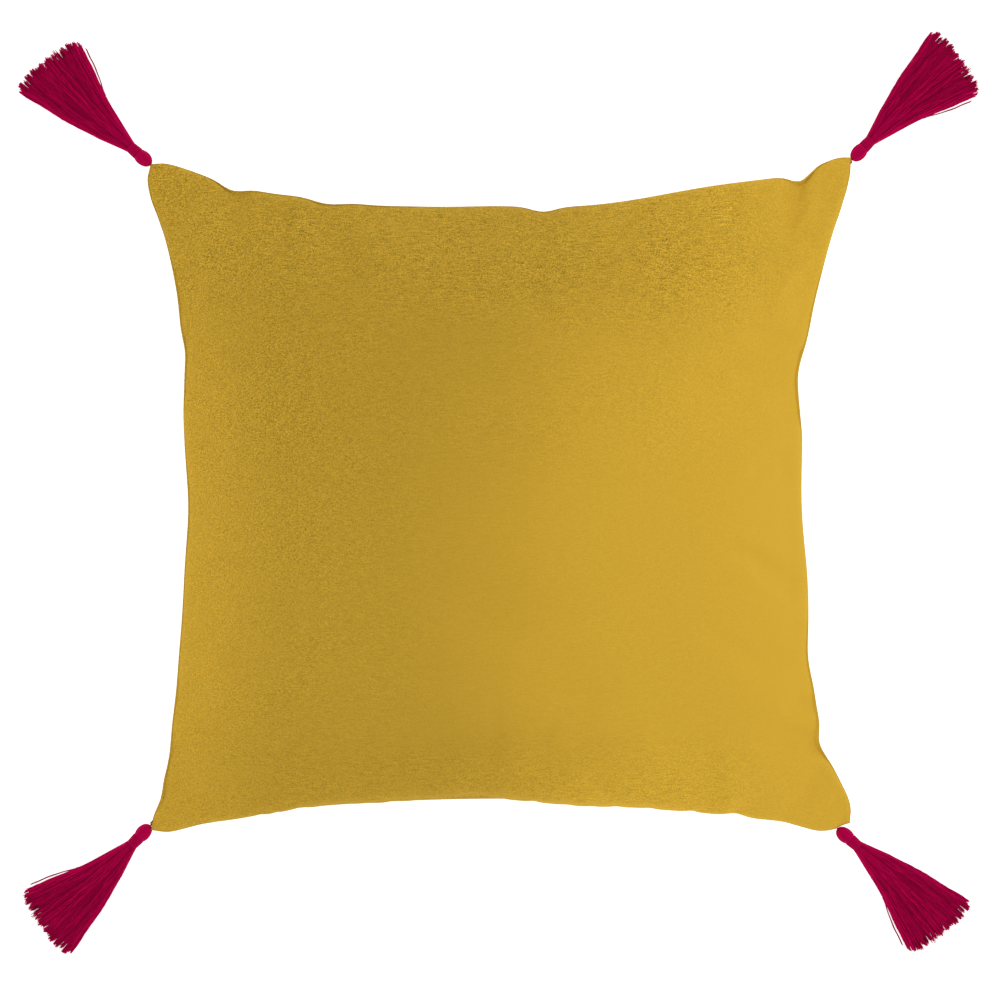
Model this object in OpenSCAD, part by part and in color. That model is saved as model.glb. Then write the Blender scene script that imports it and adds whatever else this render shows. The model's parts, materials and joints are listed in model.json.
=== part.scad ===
// Square throw pillow: a removable velvet cover with a zip, a stuffed insert, and a tassel on each corner.
// It lies on its back. +Z is up, +Y points to its top edge, and the origin is under its middle, on the table.

/* [Cushion] */
// Length of the cover from the left tips to the right tips
body_l = 428; // [340:1:560]
// Height of the cover from the bottom tips to the top tips
body_w = 406; // [320:1:560]
// Thickness at the middle of the face
crown_h = 135; // [100:1:180]
// Height of the seam above the table
seam_h = 50; // [40:1:60]
// Height of the corner tips above the table
tip_h = 26; // [20:1:34]
// How deep the top, right, bottom and left seams curve in
seam_sag = [28, 30, 17, 21]; // [12:1:40]
// How far the top right, top left, bottom left and bottom right tips are pulled in
tip_pull = [2, 5, 5, 5]; // [0:0.5:6]
// Crown exponent, where a smaller number is a plumper edge
plump = 0.6; // [0.5:0.05:0.8]
// How deep the table presses the back flat
squash = 9; // [4:1:20]

/* [Layers] */
// Thickness of the velvet
cover_t = 1.2; // [0.8:0.1:2]
// Width of the sewn rim where the two panels of the cover meet
cover_rim = 2; // [1.5:0.1:3]
// Thickness of the insert's cotton casing
casing_t = 0.8; // [0.5:0.1:1.5]
// Distance from the cover's seam to the insert's seam
insert_inset = 14; // [13.5:0.1:15]
// Clearance between the cover and the insert
insert_gap = 0.4; // [0.3:0.1:1]

/* [Zip] */
// Seam sewn shut between each corner tip and the zip
zip_end = 79; // [70:1:100]
// Half the height of the mouth that the zip closes
mouth = 3.2; // [3:0.1:4]
// Thickness of the tape
tape_t = 0.55; // [0.4:0.05:0.7]
// Height of one coil
coil_h = 1.2; // [1:0.1:1.3]
// Length of each end stop
stop_l = 2.5; // [2:0.5:4]
// Length of the slider
slider_l = 8; // [6:0.5:10]
// Length of the pull tab below its pin
pull_l = 15; // [10:1:20]
// Width of the pull tab
pull_w = 4.4; // [3.5:0.1:6]
// Radius of the pull's pin
pin_r = 0.45; // [0.4:0.05:0.5]

/* [Tassels] */
// Direction of the top right, top left, bottom left and bottom right tassels, seen from above
tassel_dir = [42.5, 135.5, 222.5, 315.5]; // [0:0.5:360]
// Diameter of the loop's cord
cord_d = 0.9; // [0.8:0.05:1]
// Length of the loop, from the corner tack to the bar that the head hangs on
loop_l = 2.6; // [2.4:0.1:6]
// Radius of the corner tack
tack_r = 0.5; // [0.4:0.05:0.5]
// Length of the head
head_l = 10.5; // [8:0.5:16]
// Largest radius of the head
head_r = 4.6; // [3.5:0.1:6]
// Length of the neck binding
neck_l = 7.5; // [6:0.1:12]
// Outer radius of the neck binding
neck_r = 3.8; // [3.6:0.1:3.9]
// Number of turns in the neck binding
neck_turns = 6; // [4:1:10]
// Radius of the bound yarn
core_r = 3; // [2.5:0.1:3.1]
// Length of the skirt
skirt_l = 76; // [50:1:90]
// Angle between the middle of the skirt and each side
skirt_fan = 18.5; // [10:0.5:22]
// Half the thickness of the skirt at its cut end
skirt_t = 2.4; // [1.5:0.1:3]

/* [Label] */
// Length of the care label along the seam
label_l = 36; // [20:1:50]
// Depth of the care label into the cover
label_w = 9; // [6:0.5:9.5]
// Thickness of the folded care label
label_t = 0.4; // [0.2:0.1:0.8]

/* [Hidden] */
run = 0.1;              // running clearance round a pin or a cord
air = 0.3;              // clearance between pieces that pass each other
case_rim = 1;           // width of the casing's flat rim
least_row = 0.8;        // least width of the first row of cells beside that rim
row_pairs = floor(min(body_l, body_w) / 2 / (insert_inset + case_rim + least_row));
cells = 2 * row_pairs;  // grid cells along each side of a panel
half_l = body_l / 2;
half_w = body_w / 2;
cell = body_l / cells;
edge_turn = 70;         // angle of the cosine arch at the seam
corner_l = zip_end - cell;
mouth_half = half_l - zip_end + cell;

zip_half = half_l - zip_end;
zip_r = arc_r(half_l, seam_sag[2]);
zip_cy = -half_w + seam_sag[2] - zip_r;
arc_fn = 720;
web_x = 2.55;           // depth of the tape's web behind the seam line
wall_t = 0.75;          // wall of the slider
slider_half = 2;        // half the height of the slider
travel_half = zip_half - stop_l - slider_l / 2 - 0.5;
pin_x = -1.3;           // the pull's pin stands this far outside the seam line
lug_in = 1.1;
lug_t = 0.7;
pull_t = 1;

legs_y = tack_r + run + cord_d / 2;
bore_r = cord_d / 2 + run;
eye_r = bore_r + 0.6;
eye_w = 2 * (legs_y - cord_d / 2 - air / 2);
head_x = eye_r;
neck_x = head_x + head_l;
skirt_x = neck_x + neck_l;
tassel_l = skirt_x + skirt_l;
lean = asin((tip_h - skirt_t - air) / tassel_l);
tack_arm = 5;
arm_t = 0.6;

// Corners go anticlockwise from the top right, as seen from above
corner_name = ["top_right", "top_left", "bottom_left", "bottom_right"];
tack_xy = [
    [half_l - 0.8, half_w + 0.7],
    [-half_l + 1.8, half_w - 2.4],
    [-half_l + 1.6, -half_w + 2.7],
    [half_l - 9.6, -half_w + 0.9]
];

// ---- The cushion's form ----

function arc_r(half, sag) = (half * half + sag * sag) / (2 * sag);

// How far a seam has curved in, at a distance from its middle
function curve_in(at, half, sag) =
    let (r = arc_r(half, sag)) sqrt(r * r - at * at) - (r - sag);

function smooth(t) = let (c = max(0, min(1, t))) c * c * (3 - 2 * c);

// How far a point near a tip is pulled in along x and along y. It fades out over one cell.
function blunting(u, v) =
    let (
        tip = v > 0 ? (u > 0 ? 0 : 1) : (u > 0 ? 3 : 2),
        near_x = max(0, 1 - (1 - abs(u)) * half_l / cell),
        near_y = max(0, 1 - (1 - abs(v)) * half_w / cell)
    )
    tip_pull[tip] * near_x * near_y * sin(45);

// Plan position of a point of the cushion, for u and v from -1 to 1
function plan(u, v) = [
    half_l * u + (1 - u) / 2 * curve_in(half_w * v, half_w, seam_sag[3])
               - (1 + u) / 2 * curve_in(half_w * v, half_w, seam_sag[1])
               - sign(u) * blunting(u, v),
    half_w * v + (1 - v) / 2 * curve_in(half_l * u, half_l, seam_sag[2])
               - (1 + v) / 2 * curve_in(half_l * u, half_l, seam_sag[0])
               - sign(v) * blunting(u, v)
];

// Height of the plane of the seam, which drops to the corner tips
function seam_z(u, v) = seam_h - (seam_h - tip_h)
    * smooth((abs(u) * half_l - half_l + corner_l) / corner_l)
    * smooth((abs(v) * half_w - half_w + corner_l) / corner_l);

function arch(t) = max(0, (cos(edge_turn * t) - cos(edge_turn)) / (1 - cos(edge_turn)));
function crown(u, v) = pow(arch(u) * arch(v), plump);

// A layer is [inset of its edge, depth below the outer face, edge thickness, takes the zip's mouth]
outer_skin = [0, 0, cover_t, true];
inner_skin = [cover_rim, cover_t, 0, true];
outer_case = [insert_inset, cover_t + insert_gap, casing_t, false];
inner_case = [insert_inset + case_rim, cover_t + insert_gap + casing_t, 0, false];

function at_edge(i) = i == 0 || i == cells;
function grid(i, half, inset) = i == 0 ? -1 + inset / half : i == cells ? 1 - inset / half : 2 * i / cells - 1;
function in_mouth(layer, i, j) = layer[3] && j == 0 && abs(grid(i, half_l, 0)) * half_l <= mouth_half;
function parting(layer, i, j) = in_mouth(layer, i, j) ? mouth : 0;

// One point of a layer's front (side = 1) or back (side = -1)
function layer_point(layer, side, i, j) =
    let (
        u = grid(i, half_l, layer[0]),
        v = grid(j, half_w, layer[0]),
        reach = side > 0 ? crown_h - seam_h : seam_h + squash,
        edge = layer[2] + parting(layer, i, j),
        rise = crown(u / (1 - layer[0] / half_l), v / (1 - layer[0] / half_w)),
        z = seam_z(u, v) + side * (edge + (reach - layer[1] - layer[2]) * rise),
        p = plan(u, v)
    )
    [p[0], p[1], side > 0 ? z : max(layer[1], z)];

// The same edge point on the plane where the front and the back meet
function meeting_point(layer, side, i, j) =
    let (u = grid(i, half_l, layer[0]), v = grid(j, half_w, layer[0]), p = plan(u, v))
    [p[0], p[1], seam_z(u, v) + side * parting(layer, i, j)];

function id(i, j) = j * (cells + 1) + i;
points_in_grid = (cells + 1) * (cells + 1);

// Grid places round the edge, anticlockwise
edge_ij = concat(
    [for (i = [0 : cells - 1]) [i, 0]],
    [for (j = [0 : cells - 1]) [cells, j]],
    [for (i = [cells : -1 : 1]) [i, cells]],
    [for (j = [cells : -1 : 1]) [0, j]]
);
edge_n = len(edge_ij);

function layer_points(layer, side) = [for (j = [0 : cells]) for (i = [0 : cells]) layer_point(layer, side, i, j)];

// The diagonal of a cell points to its nearest corner, so that no triangle lies wholly on the edge
function leans_right(i, j) = (i < cells / 2) == (j < cells / 2);

// Two triangles of one cell, facing up, from its corners taken clockwise
function two(a, b, c, d, right) = right ? [[a, b, c], [a, c, d]] : [[a, b, d], [b, c, d]];

function grid_faces(base) = [
    for (j = [0 : cells - 1]) for (i = [0 : cells - 1])
        for (f = two(base + id(i, j), base + id(i, j + 1), base + id(i + 1, j + 1), base + id(i + 1, j),
                     leans_right(i, j))) f
];

// Two triangles for each step between two closed rings
function band_faces(a, b) = [
    for (k = [0 : len(a) - 1]) let (m = (k + 1) % len(a)) for (f = [[a[k], b[m], b[k]], [a[k], a[m], b[m]]]) f
];

function flip(faces) = [for (f = faces) [f[0], f[2], f[1]]];

// A panel between an outer and an inner layer, with a flat rim where it meets its partner
module panel(outer, inner, side) {
    points = concat(
        layer_points(outer, side),
        layer_points(inner, side),
        [for (e = edge_ij) meeting_point(outer, side, e[0], e[1])]
    );
    outer_ring = [for (e = edge_ij) id(e[0], e[1])];
    inner_ring = [for (e = edge_ij) points_in_grid + id(e[0], e[1])];
    meeting_ring = [for (k = [0 : edge_n - 1]) 2 * points_in_grid + k];
    faces = concat(
        grid_faces(0),
        flip(grid_faces(points_in_grid)),
        flip(band_faces(meeting_ring, outer_ring)),
        band_faces(meeting_ring, inner_ring)
    );
    polyhedron(points = points, faces = side > 0 ? faces : flip(faces), convexity = 6);
}

module cover_front() {
    color("goldenrod") panel(outer_skin, inner_skin, 1);
}

module cover_back() {
    color("darkgoldenrod") panel(outer_skin, inner_skin, -1);
}

module insert_front() {
    color("ivory") panel(outer_case, inner_case, 1);
}

module insert_back() {
    color("ivory") panel(outer_case, inner_case, -1);
}

// Loose fibre that fills the casing to its inner faces
module filling() {
    inside = [for (j = [1 : cells - 1]) for (i = [1 : cells - 1]) layer_point(inner_case, -1, i, j)];
    function low(i, j) = at_edge(i) || at_edge(j) ? id(i, j) : points_in_grid + (j - 1) * (cells - 1) + i - 1;
    low_faces = [
        for (j = [0 : cells - 1]) for (i = [0 : cells - 1])
            for (f = two(low(i, j), low(i, j + 1), low(i + 1, j + 1), low(i + 1, j), leans_right(i, j))) f
    ];
    color("white")
        polyhedron(
            points = concat(layer_points(inner_case, 1), inside),
            faces = concat(grid_faces(0), flip(low_faces)),
            convexity = 4
        );
}

// ---- The zip, in the bottom seam ----

function turn(along) = along / zip_r * 180 / PI;

// Sweeps an outline along the seam, from one distance right of the middle to another
module along_zip(from, to) {
    translate([0, zip_cy, seam_h])
        rotate([0, 0, 90 - turn(to)])
            rotate_extrude(angle = turn(to - from), $fn = arc_fn)
                translate([zip_r, 0]) children();
}

// A place on the seam: X along it, Y into the cushion
module at_zip(along) {
    translate([0, zip_cy, seam_h])
        rotate([0, 0, -turn(along)])
            translate([0, zip_r, 0]) children();
}

// The tape is sewn flat under the lip of its panel, then turns to the middle of the mouth
module zip_tape(side) {
    color("darkgoldenrod")
        along_zip(-zip_half, zip_half)
            polygon([
                [0.5, side * mouth],
                [web_x + tape_t, side * mouth],
                [web_x + tape_t, 0],
                [web_x, 0],
                [web_x, side * (mouth - tape_t)],
                [0.5, side * (mouth - tape_t)]
            ]);
}

module zip_coil(side) {
    color("goldenrod")
        along_zip(-zip_half + stop_l, zip_half - stop_l)
            polygon([
                [1.2, 0],
                [web_x, 0],
                [web_x, side * coil_h],
                [1.7, side * coil_h],
                [1.2, side * 0.7 * coil_h]
            ]);
}

module zip_stop(end) {
    from = end > 0 ? zip_half - stop_l : -zip_half;
    color("silver")
        along_zip(from, from + stop_l)
            translate([0.9, -coil_h - air]) square([web_x - 0.9, 2 * (coil_h + air)]);
}

module zip_tape_front() {
    zip_tape(1);
}

module zip_tape_back() {
    zip_tape(-1);
}

module zip_coil_front() {
    zip_coil(1);
}

module zip_coil_back() {
    zip_coil(-1);
}

module zip_top_stop() {
    zip_stop(1);
}

module zip_bottom_stop() {
    zip_stop(-1);
}

// A channel that clasps both coils, with two lugs and the pin that the pull hangs on
module zip_slider() {
    flange_x = web_x - air;
    color("silver") {
        along_zip(travel_half - slider_l / 2, travel_half + slider_l / 2)
            difference() {
                translate([0.1, -slider_half]) square([flange_x - 0.1, 2 * slider_half]);
                translate([0.1 + wall_t, -coil_h - air]) square([flange_x, 2 * (coil_h + air)]);
            }
        at_zip(travel_half) {
            for (s = [-1, 1])
                translate([s > 0 ? lug_in : -lug_in - lug_t, pin_x - 1, -1])
                    cube([lug_t, 1.6 - pin_x, 2]);
            translate([-lug_in - lug_t / 2, pin_x, 0])
                rotate([0, 90, 0]) cylinder(r = pin_r, h = 2 * lug_in + lug_t, $fn = 32);
        }
    }
}

// A flat tab with a round end, hanging from the slider's pin
module zip_pull() {
    hole_r = pin_r + 0.07;
    eye = hole_r + 0.5;
    eye_half = lug_in - air / 2;
    tab_top = -eye - 1.2;
    color("silver")
        at_zip(travel_half)
            translate([0, pin_x, 0])
                difference() {
                    union() {
                        translate([-eye_half, 0, 0])
                            rotate([0, 90, 0]) cylinder(r = eye, h = 2 * eye_half, $fn = 32);
                        translate([-eye_half, -pull_t / 2, tab_top]) cube([2 * eye_half, pull_t, -tab_top]);
                        translate([-pull_w / 2, -pull_t / 2, -pull_l + pull_w / 2])
                            cube([pull_w, pull_t, pull_l - pull_w / 2 + tab_top]);
                        translate([0, pull_t / 2, -pull_l + pull_w / 2])
                            rotate([90, 0, 0]) cylinder(d = pull_w, h = pull_t, $fn = 48);
                    }
                    translate([-eye_half - 1, 0, 0])
                        rotate([0, 90, 0]) cylinder(r = hole_r, h = 2 * eye_half + 2, $fn = 32);
                }
}

// Blank care label, folded once and sewn into the left seam, inside the cover
module care_label() {
    edge_x = -half_l + seam_sag[3];
    color("white")
        translate([edge_x + cover_rim + 1, -label_l / 2, seam_h - label_t / 2])
            cube([label_w, label_l, label_t]);
}

// ---- The tassels ----

// At a corner's tack: X along the tassel, seen from above
module at_corner(k) {
    translate([tack_xy[k][0], tack_xy[k][1], tip_h])
        rotate([0, 0, tassel_dir[k]]) children();
}

// At the loop's bar: X along the tassel, which leans down to the table
module at_bar(k) {
    at_corner(k) translate([loop_l, 0, 0]) rotate([0, lean, 0]) children();
}

// A thread bar at each corner tip: an upright that the loop turns round, and two arms sewn into the seam
module corner_tacks() {
    arm_z = cord_d / 2 + air;
    color("darkgoldenrod")
        for (k = [0 : 3])
            at_corner(k) {
                translate([0, 0, -arm_z - arm_t]) cylinder(r = tack_r, h = 2 * (arm_z + arm_t), $fn = 32);
                for (z = [arm_z, -arm_z - arm_t])
                    translate([-tack_arm, -tack_r, z]) cube([tack_arm, 2 * tack_r, arm_t]);
            }
}

// A closed ring of cord, round at the tack and straight where the head hangs
module tassel_loop(k) {
    color("crimson")
        at_corner(k) {
            rotate([0, 0, 90])
                rotate_extrude(angle = 180, $fn = 64) translate([legs_y, 0]) circle(d = cord_d, $fn = 32);
            for (s = [-1, 1]) {
                translate([0, s * legs_y, 0]) rotate([0, 90, 0]) cylinder(d = cord_d, h = loop_l, $fn = 32);
                translate([loop_l, s * legs_y, 0]) sphere(d = cord_d, $fn = 32);
            }
            translate([loop_l, legs_y, 0]) rotate([90, 0, 0]) cylinder(d = cord_d, h = 2 * legs_y, $fn = 32);
        }
}

// The folded top of the yarn: a small eye round the loop's bar, then the round head
module tassel_head(k) {
    steps = 12;
    end_t = (neck_r - 0.2) / head_r;
    last = acos(end_t);
    // Angle along the half oval, from its tip to where the binding starts
    function oval(t) = -90 + t * (90 + last);
    low = sin(-90);
    high = sin(last);
    profile = [for (n = [1 : steps]) let (a = oval(n / steps))
        [head_r * cos(a), head_l * (sin(a) - low) / (high - low)]];
    color("crimson")
        at_bar(k)
            difference() {
                union() {
                    rotate([90, 0, 0]) cylinder(r = eye_r, h = eye_w, center = true, $fn = 32);
                    translate([0, -eye_w / 2, -eye_r / 2]) cube([head_x + 1.2, eye_w, eye_r]);
                    translate([head_x, 0, 0])
                        rotate([0, 90, 0])
                            rotate_extrude($fn = 64) polygon(concat([[0, 0]], profile, [[0, head_l]]));
                }
                rotate([90, 0, 0]) cylinder(r = bore_r, h = eye_w + 2, center = true, $fn = 32);
            }
}

// Turns of thread wound tight round the yarn
module tassel_neck(k) {
    pitch = neck_l / neck_turns;
    thread_r = neck_r - core_r;
    color("crimson")
        at_bar(k)
            translate([neck_x, 0, 0])
                rotate([0, 90, 0])
                    rotate_extrude($fn = 64)
                        polygon(concat(
                            [[core_r, 0]],
                            [for (n = [0 : neck_turns - 1]) for (p = [
                                [core_r + 0.45 * thread_r, n * pitch],
                                [neck_r, (n + 0.3) * pitch],
                                [neck_r, (n + 0.7) * pitch]
                            ]) p],
                            [[core_r + 0.45 * thread_r, neck_l], [core_r, neck_l]]
                        ));
}

// The cut yarn: a round core through the binding, which flattens and spreads like a fan
module tassel_skirt(k) {
    rings = 8;
    around = 16;
    start_r = neck_r - 0.2;
    function skirt_point(a, q) =
        let (b = cos(q), z = sin(q))
        [
            a * skirt_l * cos(b * skirt_fan),
            b * start_r * (1 - a) + a * skirt_l * sin(b * skirt_fan),
            z * (start_r + (skirt_t - start_r) * a)
        ];
    points = [for (r = [0 : rings]) for (q = [0 : around - 1]) skirt_point(r / rings, q * 360 / around)];
    function at(r, q) = r * around + (q + around) % around;
    sides = [
        for (r = [0 : rings - 1]) for (q = [0 : around - 1]) for (f = [
            [at(r, q), at(r, q + 1), at(r + 1, q + 1)],
            [at(r, q), at(r + 1, q + 1), at(r + 1, q)]
        ]) f
    ];
    // The upper and lower points at one place across the fan are joined in pairs
    function cap(r) = [
        for (q = [0 : around / 2 - 1]) for (f = [
            [at(r, q), at(r, q + 1), at(r, -q - 1)],
            [at(r, q), at(r, -q - 1), at(r, -q)]
        ]) if (f[0] != f[1] && f[1] != f[2] && f[2] != f[0]) f
    ];
    color("crimson")
        at_bar(k) {
            translate([neck_x, 0, 0]) rotate([0, 90, 0]) cylinder(r = core_r, h = neck_l, $fn = 48);
            translate([skirt_x, 0, 0])
                polyhedron(points = points, faces = concat(flip(sides), flip(cap(0)), cap(rings)), convexity = 4);
        }
}

cover_front();
cover_back();
insert_front();
insert_back();
filling();
zip_tape_front();
zip_tape_back();
zip_coil_front();
zip_coil_back();
zip_top_stop();
zip_bottom_stop();
zip_slider();
zip_pull();
care_label();
corner_tacks();
for (k = [0 : 3]) {
    tassel_loop(k);
    tassel_head(k);
    tassel_neck(k);
    tassel_skirt(k);
}
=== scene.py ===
# %% [markdown]
# # A velvet throw pillow with four yarn tassels
#
# The pillow lies on its back. Its cover is two square panels of short-pile velvet, sewn edge to edge
# with no piping, with a zip in the bottom seam. Inside is a cotton casing stuffed with loose fibre.
# A crimson tassel hangs on a short loop of cord at each corner.
#
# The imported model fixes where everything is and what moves. This script dresses it: each cell makes
# one piece or one finish, in a maker's order. Lengths are in millimetres, as fabric is cut, and are
# turned to metres last.

# %% Load the fixed model and set the units
import json
import math

import bmesh
import bpy
import numpy as np
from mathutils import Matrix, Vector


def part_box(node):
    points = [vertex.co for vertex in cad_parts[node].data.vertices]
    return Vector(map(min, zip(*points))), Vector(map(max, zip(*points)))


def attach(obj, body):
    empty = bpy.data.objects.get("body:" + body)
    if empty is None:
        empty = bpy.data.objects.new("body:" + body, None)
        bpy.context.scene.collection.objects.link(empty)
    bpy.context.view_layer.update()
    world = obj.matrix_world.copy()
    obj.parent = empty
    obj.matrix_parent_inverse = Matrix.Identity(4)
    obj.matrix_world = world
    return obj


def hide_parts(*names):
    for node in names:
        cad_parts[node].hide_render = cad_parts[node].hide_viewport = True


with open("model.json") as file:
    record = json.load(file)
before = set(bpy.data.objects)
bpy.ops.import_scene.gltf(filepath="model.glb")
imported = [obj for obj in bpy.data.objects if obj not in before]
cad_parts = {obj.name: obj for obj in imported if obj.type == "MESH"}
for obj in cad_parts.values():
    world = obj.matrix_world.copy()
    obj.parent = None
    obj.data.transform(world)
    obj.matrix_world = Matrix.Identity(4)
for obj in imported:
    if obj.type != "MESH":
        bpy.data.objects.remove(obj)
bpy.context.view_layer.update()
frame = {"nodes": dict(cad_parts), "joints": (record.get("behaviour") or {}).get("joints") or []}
MM = 0.001
rng = np.random.default_rng(11)
joints = {j["name"]: j for j in frame["joints"]}

# %% [markdown]
# ## The camera
#
# A long lens from far above has hardly any perspective, so the thick middle doesn't look swollen. An
# orthographic camera would do as well, but the other views need a real lens.

# %% Look straight down with a long lens
VIEW_WIDTH = 613.4
LENS, SENSOR = 1000.0, 36.0
seam_mm = joints["zip_run"]["pos_m"][2] / MM
camera = bpy.data.objects.new("camera", bpy.data.cameras.new("camera"))
bpy.context.scene.collection.objects.link(camera)
camera.data.lens, camera.data.sensor_width = LENS, SENSOR
camera_up = VIEW_WIDTH * LENS / SENSOR + seam_mm
camera.location = (-0.3 * MM, -2.8 * MM, camera_up * MM)
camera.data.clip_end = 50.0
bpy.context.scene.camera = camera
print("camera is", round(camera_up * MM, 2), "m up")

# %% [markdown]
# ## Small helpers
#
# Every piece is a mesh made from arrays of points. These helpers turn everyday colours into the
# linear values that a shader wants, lay the faces of a grid, and put a mesh on its body.


# %% Helpers for colours, grids and new pieces
def paint(red, green, blue):
    """Linear colour from everyday 0-255 values."""
    return tuple((c / 255 / 12.92) if c <= 10 else ((c / 255 + 0.055) / 1.055) ** 2.4
                 for c in (red, green, blue)) + (1.0,)


def grid_quads(rows, columns, flipped=False):
    """Quads of a rows x columns grid of points, as an array of point numbers."""
    n = np.arange(rows * columns).reshape(rows, columns)
    a, b, c, d = n[:-1, :-1], n[:-1, 1:], n[1:, 1:], n[1:, :-1]
    order = (a, d, c, b) if flipped else (a, b, c, d)
    return np.stack([x.ravel() for x in order], 1)


def place_mesh(name, mesh, body, nodes, material):
    """Puts a mesh in the scene, in its finish, on a body, and hides the CAD nodes it stands for."""
    mesh.materials.clear()
    mesh.materials.append(material)
    piece = bpy.data.objects.new(name, mesh)
    bpy.context.scene.collection.objects.link(piece)
    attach(piece, body)
    if nodes:
        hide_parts(*nodes)
    return piece


def new_piece(name, points_mm, faces, body, nodes, material):
    """The same for a smooth mesh made from points in millimetres and faces."""
    mesh = bpy.data.meshes.new(name)
    mesh.from_pydata((np.asarray(points_mm) * MM).tolist(), [], [list(map(int, f)) for f in faces])
    mesh.validate()
    mesh.shade_smooth()
    return place_mesh(name, mesh, body, nodes, material)


def smooth_step(t):
    t = np.clip(t, 0.0, 1.0)
    return t * t * (3 - 2 * t)


print("helpers ready")

# %% [markdown]
# ## The outline of the seam
#
# A stuffed square pulls in between its corners, so each side is a shallow arc. On top of the arc every
# side has its own puckers, where the stuffing has gathered or slipped. They are listed as place, height
# outwards and spread. A traced curve would be closer still, but nobody could change it for a plumper
# side.

# %% The four sides: arcs and listed puckers
HALF_L, HALF_W = 214.0, 203.0
SAG = {"top": 28.0, "right": 30.0, "bottom": 17.0, "left": 21.0}
SWELL = 0.6
PUCKERS = {
    "top": [(-200, 3.0, 14), (-163, -4.2, 7), (-140, -2.0, 14), (-106, -3.2, 9), (-80, -1.2, 14),
            (-2, 1.9, 24), (26, -3.0, 7), (128, 4.2, 36), (183, -5.4, 6), (191, 1.2, 4), (206, 5.4, 12)],
    "right": [(186, 3.2, 20), (108, -2.0, 18), (74, -5.4, 13), (52, -1.6, 10), (-48, 1.9, 20),
              (-102, -3.0, 14), (-132, -2.2, 10), (-151, -4.8, 7), (-160, -0.8, 5), (-187, 4.2, 10)],
    "bottom": [(-203, 4.4, 12), (-168, 2.4, 16), (-142, 1.7, 7), (-70, 1.0, 16), (-15, -2.3, 8),
               (54, 4.4, 28), (100, 1.3, 14), (150, 2.8, 34), (178, 0.4, 5), (194, 4.0, 9)],
    "left": [(187, 4.7, 15), (118, -2.8, 24), (88, -2.0, 8), (72, -1.6, 12), (-8, -2.0, 20),
             (-80, -1.0, 30), (-125, -1.4, 16), (-160, -2.8, 14), (-184, -1.8, 6), (-198, 0.8, 8)],
}


def curve_in(at, half, sag):
    radius = (half * half + sag * sag) / (2 * sag)
    return np.sqrt(radius * radius - at * at) - (radius - sag)


def puckering(side, at):
    """How far a side stands out at a place, over its arc."""
    return SWELL + sum(height * np.exp(-0.5 * ((at - place) / spread) ** 2)
                       for place, height, spread in PUCKERS[side])


for side in SAG:
    print(side, "puckers:", len(PUCKERS[side]))

# %% [markdown]
# ## The resting form of a panel
#
# A pillow panel is a crowned sheet: highest in the middle, flat towards the corners, meeting its
# partner in a knife edge. The crown is a product of two cosine arches. The corner tips, the "dog
# ears", hold little fibre, so the seam droops there. The zip needs a mouth in the bottom seam, where
# the two panels stay a few millimetres apart.

# %% Height and plan of a panel
CROWN_H, SEAM_H, TIP_H = 135.0, seam_mm, 26.0
PLUMP, SQUASH, EDGE_TURN = 0.6, 9.0, math.radians(70)
CORNER_L, MOUTH, ZIP_HALF = 61.0, 3.5, 135.0
TIP_PULL = {(1, 1): (1.6, 0.8), (-1, 1): (2.4, 2.0), (-1, -1): (0.8, 1.2), (1, -1): (1.2, 3.4)}
TIP_REACH, TIP_GAP, GAP_REACH = 4.6, 1.25, 9.0
ZIP_FADE = 22.0


def arch(t):
    return np.maximum(0, (np.cos(EDGE_TURN * t) - math.cos(EDGE_TURN)) / (1 - math.cos(EDGE_TURN)))


def near(t, power=6):
    """1 at the side where t is 1, fading fast away from it."""
    return ((1 + t) / 2) ** power


def zip_share(x):
    """1 along the zip, 0 past its ends."""
    return 1 - smooth_step((np.abs(x) - ZIP_HALF) / ZIP_FADE)


def tip_share(u, v, reach):
    """1 at the four tips, fading over a reach in millimetres."""
    return np.exp(-(((1 - abs(u)) * HALF_L) ** 2 + ((1 - abs(v)) * HALF_W) ** 2) / (2 * reach ** 2))


def plan(u, v):
    along_x, along_y = HALF_L * u, HALF_W * v
    x = along_x + (1 - u) / 2 * curve_in(along_y, HALF_W, SAG["left"]) \
        - (1 + u) / 2 * curve_in(along_y, HALF_W, SAG["right"])
    y = along_y + (1 - v) / 2 * curve_in(along_x, HALF_L, SAG["bottom"]) \
        - (1 + v) / 2 * curve_in(along_x, HALF_L, SAG["top"])
    x = x + near(u) * puckering("right", along_y) - near(-u) * puckering("left", along_y)
    y = y + near(v) * puckering("top", along_x) \
        - near(-v) * puckering("bottom", along_x) * (1 - zip_share(along_x))
    share = tip_share(u, v, TIP_REACH)
    for (east, north), (pull_x, pull_y) in TIP_PULL.items():
        here = share * (np.sign(u) == east) * (np.sign(v) == north)
        x, y = x - east * here * pull_x, y - north * here * pull_y
    return x, y


def seam_height(u, v):
    def droop(t, half):
        return smooth_step((abs(t) * half - half + CORNER_L) / CORNER_L)
    return SEAM_H - (SEAM_H - TIP_H) * droop(u, HALF_L) * droop(v, HALF_W)


def panel_form(u, v, side):
    """Points of the front (side 1) or back (side -1) panel, before it is puffed up."""
    x, y = plan(u, v)
    reach = CROWN_H - SEAM_H if side > 0 else SEAM_H + SQUASH
    mouth = MOUTH * zip_share(x) * smooth_step(1 - (1 + v) * HALF_W / 40)
    mouth = mouth + TIP_GAP * tip_share(u, v, GAP_REACH)
    z = seam_height(u, v) + side * (mouth + (reach - mouth) * (arch(u) * arch(v)) ** PLUMP)
    return np.stack([x, y, np.maximum(z, 0.0)], -1)


middle = panel_form(np.zeros(1), np.zeros(1), 1)[0]
print("crown of the front panel:", middle.round(1))

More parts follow.
